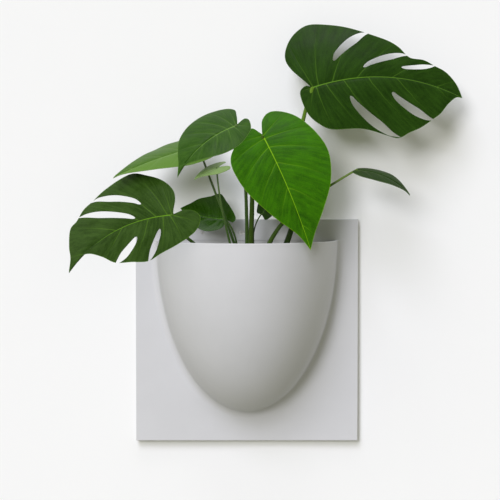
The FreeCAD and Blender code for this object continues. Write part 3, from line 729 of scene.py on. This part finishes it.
def pebble_places(radius):
    """Centres of close-packed pebbles that fit in the lower part of the pocket."""
    layer_height = PEBBLE_PITCH_MM * math.sqrt(2 / 3)
    row_height = PEBBLE_PITCH_MM * math.sqrt(3) / 2
    room = radius + PEBBLE_SHELL_GAP_MM
    places = []
    for layer in range(PEBBLE_LAYERS):
        odd = layer % 2
        z = PEBBLE_TOP_MM - layer * layer_height
        for row in range(PEBBLE_ROWS):
            y = POCKET_CENTRE_MM[1] - radius - row * row_height - odd * row_height / 3
            for column in range(PEBBLE_COLUMNS):
                x = (column - PEBBLE_COLUMNS // 2 + 0.5 * (row % 2) + 0.5 * odd) * PEBBLE_PITCH_MM
                spread = sum(((value - centre) / (axis - room)) ** 2 for value, centre, axis in
                             zip((x, y, z), POCKET_CENTRE_MM, POCKET_AXES_MM))
                if spread <= 1 and y <= PLATE_FRONT_MM - radius - PEBBLE_PLATE_GAP_MM:
                    places.append((x, y, z))
    return places


class PLANTER_OT_clay_pebbles(bpy.types.Operator):
    """Loose drainage pebbles in the bottom of the pocket"""
    bl_idname = "planter.clay_pebbles"
    bl_label = "Clay pebbles"

    def execute(self, context):
        settings = context.scene.planter_pot
        radius = settings.pebble_radius / MM
        chance = random.Random(11)
        first = added("pebble", bpy.ops.mesh.primitive_ico_sphere_add, subdivisions=4, radius=radius * MM)
        for vertex in first.data.vertices:
            way = vertex.co.normalized()
            lump = 0.10 * noise.noise(way * 1.3) + 0.035 * noise.noise(way * 4.0)
            vertex.co *= 0.93 + lump
        smooth(first, 180)
        pebbles = []
        for place in pebble_places(radius):
            pebble = own_copy(first)
            pebble.location = Vector(place) * MM
            pebble.rotation_euler = Euler([chance.uniform(0, 6.28) for _ in range(3)])
            pebble.scale = [chance.uniform(0.80, 0.98) for _ in range(3)]
            pebbles.append(pebble)
        bpy.data.objects.remove(first)
        obj = joined("loose_pebbles", pebbles)
        settle(obj)
        modify(obj, "DECIMATE", ratio=0.4)
        smooth(obj, 180)
        paint(obj, clay_finish(settings))
        finished(obj, "planter", "fired_clay", "clay_pebbles")
        return {"FINISHED"}


class PLANTER_OT_grow_pot(bpy.types.Operator):
    """Thin nursery pot with a stepped foot, a rolled rim and drain holes"""
    bl_idname = "planter.grow_pot"
    bl_label = "Nursery pot"

    def execute(self, context):
        settings = context.scene.planter_pot
        outline = [(1, -13.2), (34, -13.2), (35, -14), (39.4, -14), (40, -13.4), (41.6, -0.6), (42.2, 0),
                   (43.7, 0.4), (44.4, 6), (49.3, 46), (49.9, 46.6), (50.3, 50), (50.1, 50.6), (54.4, 86),
                   (54.8, 93), (58, 94), (58.7, 94.4), (59, 95.2), (59, 99.6), (58.6, 100.6), (57.6, 101),
                   (56, 101), (54.9, 100.6), (54.5, 99.4), (53.6, 94), (42.6, 2.4), (40.3, 0.4),
                   (38.5, -12.5), (1, -12.5)]
        obj = turned_piece("nursery_pot", POT_CENTRE_MM, outline, 128)
        x, y = POT_CENTRE_MM
        for index in range(DRAINS):
            angle = 2 * math.pi * index / DRAINS
            place = (x + DRAIN_CIRCLE_MM * math.cos(angle), y + DRAIN_CIRCLE_MM * math.sin(angle), -13)
            cutter = added("drain", bpy.ops.mesh.primitive_cylinder_add, vertices=32,
                           radius=DRAIN_RADIUS_MM * MM, depth=8 * MM, location=Vector(place) * MM)
            modify(obj, "BOOLEAN", operation="DIFFERENCE", object=cutter, solver="EXACT")
            bpy.data.objects.remove(cutter)
        in_edit_mode(obj, merge_doubles, face_outwards)
        smooth(obj, 40)
        paint(obj, plastic_finish("pot_plastic", settings.pot_colour, 0.5, 0.6, 0.05))
        finished(obj, "plant", "pot_plastic", "grow_pot")
        return {"FINISHED"}


def soil_top(x, y):
    """Height of the soil's surface over its place in the pot, from the pot's middle."""
    share = math.hypot(x, y) / SOIL_RADIUS_MM
    place = Vector((x, y, 0)) / 1000
    rough = 1.1 * noise.noise(place * 60) + 0.7 * noise.noise(place * 190) + 0.3 * noise.noise(place * 520)
    return 90.0 - 2.2 * share * share + rough


class PLANTER_OT_potting_soil(bpy.types.Operator):
    """Root ball with a crumbly top"""
    bl_idname = "planter.potting_soil"
    bl_label = "Soil"

    def execute(self, context):
        settings = context.scene.planter_pot
        outline = [(1, -12.5), (38.2, -12.5), (40.0, 0.7), (42.0, 2.9), (52.6, 87.0)]
        outline += [(radius, SOIL_TOP_MM) for radius in (51.5, *range(50, 0, -2))]
        obj = turned_piece("root_ball", POT_CENTRE_MM, outline, 144)
        x, y = POT_CENTRE_MM
        for vertex in obj.data.vertices:
            if vertex.co.z > (SOIL_TOP_MM - 0.5) * MM:
                vertex.co.z = soil_top(vertex.co.x / MM - x, vertex.co.y / MM - y) * MM
        in_edit_mode(obj, face_outwards)
        smooth(obj, 60)
        chance = random.Random(5)
        bits = []
        for index in range(settings.crumbs):
            angle, out = chance.uniform(0, 2 * math.pi), CRUMB_REACH_MM * math.sqrt(chance.random())
            size = chance.uniform(0.7, 1.9)
            bit_x, bit_y = out * math.cos(angle), out * math.sin(angle)
            bit = added("bit", bpy.ops.mesh.primitive_ico_sphere_add, subdivisions=1, radius=size * MM,
                        location=((x + bit_x) * MM, (y + bit_y) * MM, (soil_top(bit_x, bit_y) + 0.3) * MM))
            white = index % 4 == 0
            bit.scale = (1, 1, 0.9) if white else (1.5, 0.7, 0.45)
            bit.rotation_euler = Euler([chance.uniform(-0.5, 0.5), chance.uniform(-0.5, 0.5),
                                        chance.uniform(0, 6.28)])
            mark = bit.data.attributes.new("white", "FLOAT", "POINT")
            mark.data.foreach_set("value", [float(white)] * len(bit.data.vertices))
            bits.append(bit)
        grit = joined("soil_grit", bits)
        settle(grit)
        modify(grit, "SUBSURF", levels=1, render_levels=1)
        smooth(grit, 180)
        paint(obj, soil_finish(settings))
        paint(grit, grit_finish())
        finished(obj, "plant", "soil", "potting_soil")
        finished(grit, "plant", "soil")
        return {"FINISHED"}


# ---- plant
def spline_through(points, steps=16):
    """A smooth line through points, as many short steps from each to the next."""
    padded = [points[0] * 2 - points[1]] + points + [points[-1] * 2 - points[-2]]
    line = []
    for before, start, end, after in zip(padded, padded[1:], padded[2:], padded[3:]):
        for step in range(steps):
            s = step / steps
            bend = before * 2 - start * 5 + end * 4 - after
            twist = start * 3 - before - end * 3 + after
            line.append(0.5 * (start * 2 + (end - before) * s + bend * s ** 2 + twist * s ** 3))
    return line + [points[-1]]


class Line:
    """A line of points that gives the place at a share of its length."""

    def __init__(self, points):
        self.points = points
        self.ends = [0.0]
        for first, second in zip(points, points[1:]):
            self.ends.append(self.ends[-1] + (second - first).length)
        self.length = self.ends[-1]

    def at(self, share):
        goal = min(max(share, 0.0), 1.0) * self.length
        index = min(max(bisect_right(self.ends, goal) - 1, 0), len(self.points) - 2)
        step = self.ends[index + 1] - self.ends[index]
        return self.points[index].lerp(self.points[index + 1], (goal - self.ends[index]) / max(step, 1e-9))


# Side veins leave the midrib from this share of the margin on, closer together near its base, and run
# forward by this share of their length.
RIB_START = 0.14
RIB_PACE = 2.5
VEIN_SWEEP = 0.20
FACE_LENGTH_MM, FACE_WIDTH_MM = 1.4, 2.2
RIPPLE_LENGTH_MM = 26
GROOVE_WIDTH_MM = 0.9
PILLOW_EDGE_MM = 3.5


class Blade:
    """The flat plan of a leaf: side veins fan out from the midrib to the margin."""

    def __init__(self, leaf, veins):
        base, tip = Vector(leaf["base"]), Vector(leaf["tip"])
        self.leaf = leaf
        self.base = base
        self.length = (tip - base).length
        self.along = (tip - base) / self.length
        face = Vector(leaf["face"])
        self.out = (face - self.along * face.dot(self.along)).normalized()
        self.across = self.out.cross(self.along)
        self.margins = []
        for side in ("margin_a", "margin_b"):
            corners = [(-2, 0), *leaf[side], (self.length, 0)]
            self.margins.append(Line(spline_through([Vector(corner) for corner in corners])))
        self.knots = [self.vein_knots(half, veins) for half in (0, 1)]

    def rib(self, t):
        """Where on the midrib the side vein leaves that ends at share t of the margin."""
        s = max(0.0, (t - RIB_START) / (1 - RIB_START)) ** RIB_PACE
        return Vector((s * self.length, self.leaf["bow"] * 4 * s * (1 - s)))

    def plan(self, t, r):
        """The place in the blade's plane at share t along its margin and r, from -1 to 1, across it."""
        start, end = self.rib(t), self.margins[0 if r >= 0 else 1].at(t)
        reach = abs(r)
        place = start.lerp(end, reach)
        forward = min(max((t - RIB_START) / 0.25, 0.0), 1.0)
        place.x -= VEIN_SWEEP * forward * reach * (1 - reach) * (end - start).length
        return place

    def vein_knots(self, half, veins):
        """Pairs of margin share and count of side veins up to there, so that each slit lies between two."""
        sign = 1 if half == 0 else -1
        shares = []
        for inner, outer, _, _ in self.leaf.get("slits", ()):
            middle = Vector(((inner[0] + outer[0]) / 2, (inner[1] + outer[1]) / 2))

            def distance(t):
                return min((self.plan(t, sign * step / 10) - middle).length for step in range(3, 10))

            if (middle.y - self.rib_height(middle.x) > 0) == (half == 0):
                shares.append(min((index / 200 for index in range(200)), key=distance))
        knots = [(0.0, 0.0)]
        for share in sorted(shares) + [1.0]:
            count = max(1, round((share - knots[-1][0]) * veins))
            knots.append((share, knots[-1][1] + count))
        return knots

    def rib_height(self, u):
        s = min(max(u / self.length, 0.0), 1.0)
        return self.leaf["bow"] * 4 * s * (1 - s)

    def phase(self, t, half):
        """How many side veins lie between the notch and share t of the margin."""
        for (t0, w0), (t1, w1) in zip(self.knots[half], self.knots[half][1:]):
            if t <= t1 or t1 == 1.0:
                return w0 + (w1 - w0) * (t - t0) / max(t1 - t0, 1e-6)

    def room(self, t, r, half):
        """Millimetres per side vein at a place, measured along the margin's direction."""
        low, high = max(t - 0.01, 0.0), min(t + 0.01, 1.0)
        r = max(abs(r), 0.02) * (1 if half == 0 else -1)
        step = self.phase(high, half) - self.phase(low, half)
        return (self.plan(high, r) - self.plan(low, r)).length / max(step, 1e-6)

    def height(self, place):
        """Height of the blade's upper face over its plane."""
        leaf = self.leaf
        s = place.x / self.length
        return leaf["arch"] * 4 * s * (1 - s) + leaf["cup"] * (place.y / leaf["half"]) ** 2


def slit_cutter(inner, outer, width, bend):
    """A tear-shaped bar through a blade, round at its inner end and narrow where it meets the margin."""
    inner, outer = Vector(inner), Vector(outer)
    run = outer - inner
    side = Vector((-run.y, run.x)).normalized()
    half = width / 2

    def line(sign):
        shape = ((0.0, 0.0), (0.04, 0.42), (0.16, 0.72), (0.4, 0.95), (0.62, 1.0), (0.82, 0.62), (0.93, 0.24),
                 (1.0, 0.0))
        return Line(spline_through([inner + run * share + side * (sign * swell * half + bend * math.sin(
            math.pi * min(share / 0.35, 1.0, (1 - share) / 0.3) / 2)) for share, swell in shape]))

    lines = line(1), line(-1)
    cutter = added("slit", bpy.ops.mesh.primitive_circle_add, vertices=64, fill_type="NGON", radius=1.0)
    for index, vertex in enumerate(cutter.data.vertices):
        share = index / 32
        place = lines[0].at(share) if share <= 1 else lines[1].at(2 - share)
        vertex.co = Vector((place.x, place.y, -3)) * MM
    for name, values in (("fan", (0.1, 0.5)), ("ribs", (0.2, 0.2))):
        layer = cutter.data.uv_layers.new(name=name)
        for loop in layer.data:
            loop.uv = values
    in_edit_mode(cutter, lambda: bpy.ops.mesh.extrude_region_move(
        TRANSFORM_OT_translate={"value": (0, 0, 6 * MM)}),
        lambda: bpy.ops.mesh.select_all(action="SELECT"), face_outwards)
    return cutter


def blade_relief(settings, phase, across, from_rib, room):
    """Rise of the upper face, in millimetres: veins lie in grooves and the skin swells between them."""
    reach = abs(across)
    to_vein = abs(phase % 1.0 - 0.5) * room
    fade = math.sqrt(max(0.0, 1 - reach))
    groove = settings.vein_depth / MM * fade * math.exp(-(to_vein / GROOVE_WIDTH_MM) ** 2)
    pillow = settings.quilting / MM * fade * min(1.0, reach * 4)
    pillow *= 1 - math.exp(-(to_vein / PILLOW_EDGE_MM) ** 2)
    crease = 1.1 * math.exp(-from_rib / 7) + 0.5 * math.exp(-(from_rib / 1.3) ** 2)
    return pillow - groove - crease


def make_blade(name, leaf, look, settings):
    """One leaf blade: a fan-shaped grid in its own plane, slit, then bent to its place."""
    blade = Blade(leaf, look["veins"])
    reach = max(margin.length for margin in blade.margins)
    columns = max(60, min(settings.columns, int(reach / FACE_LENGTH_MM)))
    rows = 2 * max(10, min(26, int(leaf["half"] / FACE_WIDTH_MM)))
    obj = added(name, bpy.ops.mesh.primitive_grid_add, x_subdivisions=columns, y_subdivisions=rows, size=2)
    mesh = obj.data
    shares = [((vertex.co.x + 1) / 2, vertex.co.y) for vertex in mesh.vertices]
    mesh.uv_layers[0].name = "fan"
    ribs = mesh.uv_layers.new(name="ribs")
    fan = mesh.uv_layers["fan"]
    for polygon in mesh.polygons:
        half = 0 if polygon.center.y > 0 else 1
        for loop in polygon.loop_indices:
            t, r = shares[mesh.loops[loop].vertex_index]
            width = (blade.plan(t, 1 if half == 0 else -1) - blade.rib(t)).length
            fan.data[loop].uv = (blade.phase(t, half) / 10, r)
            ribs.data[loop].uv = (abs(r) * width / 100, blade.room(t, r, half) / 100)
    for vertex, (t, r) in zip(mesh.vertices, shares):
        place = blade.plan(t, r)
        vertex.co = Vector((place.x, place.y, 0)) * MM
    in_edit_mode(obj, merge_doubles, face_outwards)
    if sum(polygon.normal.z * polygon.area for polygon in mesh.polygons) < 0:
        in_edit_mode(obj, bpy.ops.mesh.flip_normals)
    modify(obj, "SOLIDIFY", thickness=1 * MM, offset=-1)
    for slit in leaf.get("slits", ()):
        cutter = slit_cutter(*slit)
        modify(obj, "BOOLEAN", operation="DIFFERENCE", object=cutter, solver="EXACT")
        bpy.data.objects.remove(cutter)

    mesh = obj.data
    fan, ribs = mesh.uv_layers["fan"].data, mesh.uv_layers["ribs"].data
    relief = [0.0] * len(mesh.vertices)
    keel = [0.0] * len(mesh.vertices)
    for polygon in mesh.polygons:
        polygon.material_index = 1 if polygon.normal.z < -0.5 else 0
        if abs(polygon.normal.z) > 0.5:
            for loop in polygon.loop_indices:
                from_rib, room = ribs[loop].uv * 100
                phase, across = fan[loop].uv[0] * 10, fan[loop].uv[1]
                index = mesh.loops[loop].vertex_index
                relief[index] = blade_relief(settings, phase, across, from_rib, room)
                keel[index] = 0.9 * math.exp(-(from_rib / 1.5) ** 2)
    thickness = settings.blade_thickness / MM
    for vertex, rise, ridge in zip(mesh.vertices, relief, keel):
        place = vertex.co / MM
        under = place.z < -0.5
        edge = min(1.0, abs(place.y) / leaf["half"])
        wave = noise.noise(Vector((place.x, place.y, 40 + leaf["half"])) / RIPPLE_LENGTH_MM)
        wave *= settings.ripple / MM * edge ** 2
        height = blade.height(place) + rise + wave
        if under:
            height -= thickness + ridge * (1 - max(0.0, place.x / blade.length))
        vertex.co = (blade.base + blade.along * place.x + blade.across * place.y + blade.out * height) * MM
    smooth(obj, 50)
    paint(obj, blade_finish(name, look, True), blade_finish(name, look, False))
    return obj


def biarc_line(leaf):
    """Two arcs that meet smoothly and run from the stalk's root to its blade."""
    start, end = Vector(leaf["root"]), Vector(leaf["base"])
    leave, arrive = Vector(leaf["rise"]).normalized(), Vector(leaf["arrive"]).normalized()
    span, both = end - start, leave + arrive
    bend = 1 - leave.dot(arrive)
    reach = (-span.dot(both) + math.sqrt(span.dot(both) ** 2 + 2 * bend * span.dot(span))) / (2 * bend)
    first, last = start + leave * reach, end - arrive * reach
    middle = (first + last) / 2
    points = []
    for head, corner, tail in ((start, first, middle), (middle, last, end)):
        weight = (tail - head).length / 2 / (corner - head).length
        for step in range(60):
            s = step / 60
            a, b, c = (1 - s) ** 2, 2 * s * (1 - s) * weight, s * s
            points.append((head * a + corner * b + tail * c) / (a + b + c))
    return Line(points + [end])


STALK_SIDES = 20
STALK_CAP_RINGS = 6
STALK_CAP_HEIGHT = 0.35  # of the stalk's radius


def make_stalk(name, leaf, look):
    """One leaf stalk: a tapered tube with a sheath at its foot, a knee below the blade and a round end."""
    line = biarc_line(leaf)
    low, high = leaf["radii"]
    cap_share = STALK_CAP_HEIGHT * high / line.length
    rings = max(40, int(line.length / 2))
    obj = added(name, bpy.ops.mesh.primitive_grid_add, x_subdivisions=STALK_SIDES, y_subdivisions=rings,
                size=2)
    obj.data.uv_layers[0].name = "tube"
    rows = []
    side = Vector((1, 0, 0))
    for ring in range(rings + 1):
        cap = max(0.0, (ring - (rings - STALK_CAP_RINGS)) / STALK_CAP_RINGS)
        if cap:
            share = 1 - cap_share + cap_share * math.sin(cap * math.pi / 2)
        else:
            share = (1 - cap_share) * ring / (rings - STALK_CAP_RINGS)
        tangent = (line.at(share + 0.004) - line.at(share - 0.004)).normalized()
        centre = line.at(share) + tangent * max(0.0, share - 1) * line.length
        side = (side - tangent * side.dot(tangent)).normalized()
        radius = low + (high - low) * min(share, 1.0)
        radius *= 1 + 0.10 * math.exp(-share / 0.10) + 0.16 * math.exp(-((share - 0.955) / 0.03) ** 2)
        radius *= math.cos(cap * math.pi / 2)
        if ring == 0:
            radius = 0.0
        rows.append((centre, side.copy(), tangent.cross(side), radius))
    for vertex in obj.data.vertices:
        ring = round((vertex.co.y + 1) / 2 * rings)
        angle = math.pi * vertex.co.x
        centre, side, other, radius = rows[ring]
        ripple = 1 + 0.02 * noise.noise(Vector((math.cos(angle), math.sin(angle), ring * 0.08)) * 1.4)
        channel = 1 - 0.10 * max(0.0, math.cos(angle)) ** 6
        radius *= ripple * channel
        vertex.co = (centre + side * (radius * math.cos(angle)) + other * (radius * math.sin(angle))) * MM
    in_edit_mode(obj, merge_doubles, face_outwards)
    smooth(obj, 60)
    paint(obj, stalk_finish(name, look))
    return obj


class PLANTER_OT_stalks(bpy.types.Operator):
    """Nine leaf stalks, rooted in the soil"""
    bl_idname = "planter.stalks"
    bl_label = "Leaf stalks"

    def execute(self, context):
        for name, leaf in LEAVES.items():
            obj = make_stalk("stalk_" + name, leaf, LEAF_LOOKS[name])
            finished(obj, "plant", LEAF_LOOKS[name]["stalk"][0], "petiole_" + name)
        return {"FINISHED"}


class PLANTER_OT_blades(bpy.types.Operator):
    """Nine leaf blades with veins, slits and a paler underside"""
    bl_idname = "planter.blades"
    bl_label = "Leaf blades"

    def execute(self, context):
        settings = context.scene.planter_plant
        for name, leaf in LEAVES.items():
            obj = make_blade("leaf_" + name, leaf, LEAF_LOOKS[name], settings)
            finished(obj, "plant", LEAF_LOOKS[name]["slot"], "blade_" + name)
        return {"FINISHED"}


# ---- stage
# The camera's x and z, the place it looks at, and its lens. These and the stage's sizes are in metres.
CAMERA_PLACE = (0.0042, 0.1885)
CAMERA_AIM = (0.0042, -0.012, 0.1085)
CAMERA_LENS = 106.2
# Each lamp: its turn from straight ahead and its height in degrees, its strength, its spread in degrees, its
# colour, whether it throws shadows and whether it gives glints. The shadows have a warm green tone, so the
# lamps that throw them are a little blue and the rest of the light is a little yellow.
LAMPS = {"key": (-20, 15, 1.30, 18, (0.93, 0.92, 1.0), True, False),
         "high_key": (-20, 40, 1.78, 30, (0.82, 0.83, 1.0), True, False),
         "sheen": (-15, 72, 0.35, 18, (1.0, 1.0, 1.0), True, True),
         "side": (-70, 25, 0.24, 40, (1.0, 1.0, 0.8), True, True),
         "rear": (150, 30, 2.0, 60, (0.86, 0.86, 1.0), False, False)}
# These leaves throw no shadow, so that the wall and the panel behind them stay bright.
SPARED_BY_SHADOWS = ("leaf_left_split", "leaf_mid_heart")
ROOM_COLOUR = (1.0, 1.0, 0.76, 1)
WALL_GAP, WALL_SIZE = 0.0006, 6.0
FLOOR_HEIGHT, FLOOR_SIZE = -0.62, 12.0


def seen_from_the_room(finish):
    """Lets light from the white room through a stage surface, which only the camera and reflections see, and
    only from its front."""
    tree = finish.tree
    path = finish.node("ShaderNodeLightPath").socket.node
    seen = Value(finish, path.outputs["Is Camera Ray"]).at_least(Value(finish, path.outputs["Is Glossy Ray"]))
    seen = seen.at_least(Value(finish, path.outputs["Is Transmission Ray"]))
    back = finish.node("ShaderNodeNewGeometry", None, None, "Backfacing")
    clear = finish.node("ShaderNodeBsdfTransparent")
    mix = finish.node("ShaderNodeMixShader", None, {0: seen * (1 - back), 1: clear})
    tree.links.new(finish.shader.outputs[0], mix.socket.node.inputs[2])
    tree.links.new(mix.socket, tree.nodes["Material Output"].inputs[0])
    return finish.material


def wall_finish(settings):
    """Matt painted wall."""
    finish = Finish("painted_wall", roughness=0.9, specular_ior_level=0.1)
    tone = finish.grain(60, 3)
    finish.feed("Base Color", finish.blend(scaled(settings.wall_colour, 0.99),
                                           settings.wall_colour, tone))
    finish.emboss(finish.grain(1.5, 3), 0.02)
    return seen_from_the_room(finish)


def floor_finish():
    finish = Finish("pale_floor", roughness=0.8, specular_ior_level=0.1)
    finish.feed("Base Color", finish.blend(tint(236, 236, 234), tint(244, 244, 242), finish.grain(120, 4)))
    finish.emboss(finish.grain(2.5, 3), 0.05)
    return seen_from_the_room(finish)


class PLANTER_OT_stage(bpy.types.Operator):
    """Pale wall and floor, soft lamps, a white room and the camera"""
    bl_idname = "planter.stage"
    bl_label = "Stage"

    def execute(self, context):
        settings = context.scene.planter_stage
        scene = context.scene
        wall = added("wall", bpy.ops.mesh.primitive_plane_add, size=WALL_SIZE, location=(0, WALL_GAP, 1.0),
                     rotation=(math.pi / 2, 0, 0))
        settle(wall)
        paint(wall, wall_finish(settings))
        floor = added("floor", bpy.ops.mesh.primitive_plane_add, size=FLOOR_SIZE,
                      location=(0, 0, FLOOR_HEIGHT))
        settle(floor)
        paint(floor, floor_finish())

        spared = bpy.data.collections.new("spared_by_shadows")
        for name in SPARED_BY_SHADOWS:
            if name in bpy.data.objects:
                spared.objects.link(bpy.data.objects[name])
        for link in spared.collection_objects:
            link.light_linking.link_state = "EXCLUDE"
        for name, (turn, height, strength, spread, colour, shadow, glints) in LAMPS.items():
            lamp = bpy.data.lights.new(name, "SUN")
            lamp.energy = strength * settings.lamp_strength
            lamp.angle = math.radians(spread)
            lamp.color = colour
            lamp.use_shadow = shadow
            obj = bpy.data.objects.new(name, lamp)
            obj.rotation_euler = Euler((math.radians(90 - height), 0, math.radians(turn)))
            obj.visible_glossy = glints
            obj.light_linking.blocker_collection = spared
            scene.collection.objects.link(obj)

        world = bpy.data.worlds.new("white_room")
        world.use_nodes = True
        scene.world = world
        tree = world.node_tree
        room = tree.nodes["Background"]
        room.inputs["Color"].default_value = ROOM_COLOUR
        room.inputs["Strength"].default_value = settings.room_strength
        shown = tree.nodes.new("ShaderNodeBackground")
        shown.inputs["Color"].default_value = (1, 1, 1, 1)
        shown.inputs["Strength"].default_value = 1.0
        path = tree.nodes.new("ShaderNodeLightPath")
        seen = tree.nodes.new("ShaderNodeMath")
        seen.operation = "MAXIMUM"
        tree.links.new(path.outputs["Is Camera Ray"], seen.inputs[0])
        tree.links.new(path.outputs["Is Transmission Ray"], seen.inputs[1])
        mix = tree.nodes.new("ShaderNodeMixShader")
        tree.links.new(seen.outputs[0], mix.inputs[0])
        tree.links.new(room.outputs[0], mix.inputs[1])
        tree.links.new(shown.outputs[0], mix.inputs[2])
        tree.links.new(mix.outputs[0], tree.nodes["World Output"].inputs[0])

        camera = bpy.data.cameras.new("camera")
        camera.lens = CAMERA_LENS
        camera.sensor_width = 36.0
        camera.clip_end = 20.0
        eye = bpy.data.objects.new("camera", camera)
        eye.location = (CAMERA_PLACE[0], -settings.camera_distance, CAMERA_PLACE[1])
        eye.rotation_euler = (Vector(CAMERA_AIM) - eye.location).to_track_quat("-Z", "Y").to_euler()
        scene.collection.objects.link(eye)
        scene.camera = eye
        scene.view_settings.view_transform = "Standard"
        return {"FINISHED"}


class PLANTER_PT_pieces(bpy.types.Panel):
    """Lists the settings and the pieces"""
    bl_idname = "PLANTER_PT_pieces"
    bl_label = "Wall planter"
    bl_space_type = "VIEW_3D"
    bl_region_type = "UI"
    bl_category = "Planter"

    def draw(self, context):
        for group, settings in SETTINGS.items():
            box = self.layout.box()
            for name in settings.__annotations__:
                box.prop(getattr(context.scene, group), name)
        for operator in OPERATORS:
            self.layout.operator(operator.bl_idname)


SETTINGS = {"planter": PlanterSettings, "planter_pot": PotSettings, "planter_plant": PlantSettings,
            "planter_stage": StageSettings}
OPERATORS = (PLANTER_OT_front_shell, PLANTER_OT_back_plate, PLANTER_OT_wall_pads,
             PLANTER_OT_clay_pebbles, PLANTER_OT_grow_pot, PLANTER_OT_potting_soil, PLANTER_OT_stalks,
             PLANTER_OT_blades, PLANTER_OT_stage)


def register():
    for group, settings in SETTINGS.items():
        bpy.utils.register_class(settings)
        setattr(bpy.types.Scene, group, bpy.props.PointerProperty(type=settings))
    for operator in OPERATORS:
        bpy.utils.register_class(operator)
    bpy.utils.register_class(PLANTER_PT_pieces)


def unregister():
    bpy.utils.unregister_class(PLANTER_PT_pieces)
    for operator in reversed(OPERATORS):
        bpy.utils.unregister_class(operator)
    for group, settings in SETTINGS.items():
        delattr(bpy.types.Scene, group)
        bpy.utils.unregister_class(settings)


def corners(box):
    return [list(corner) for corner in box]


def main():
    register()
    for operator in OPERATORS:
        family, name = operator.bl_idname.split(".")
        getattr(getattr(bpy.ops, family), name)()


if __name__ == "__main__":
    main()
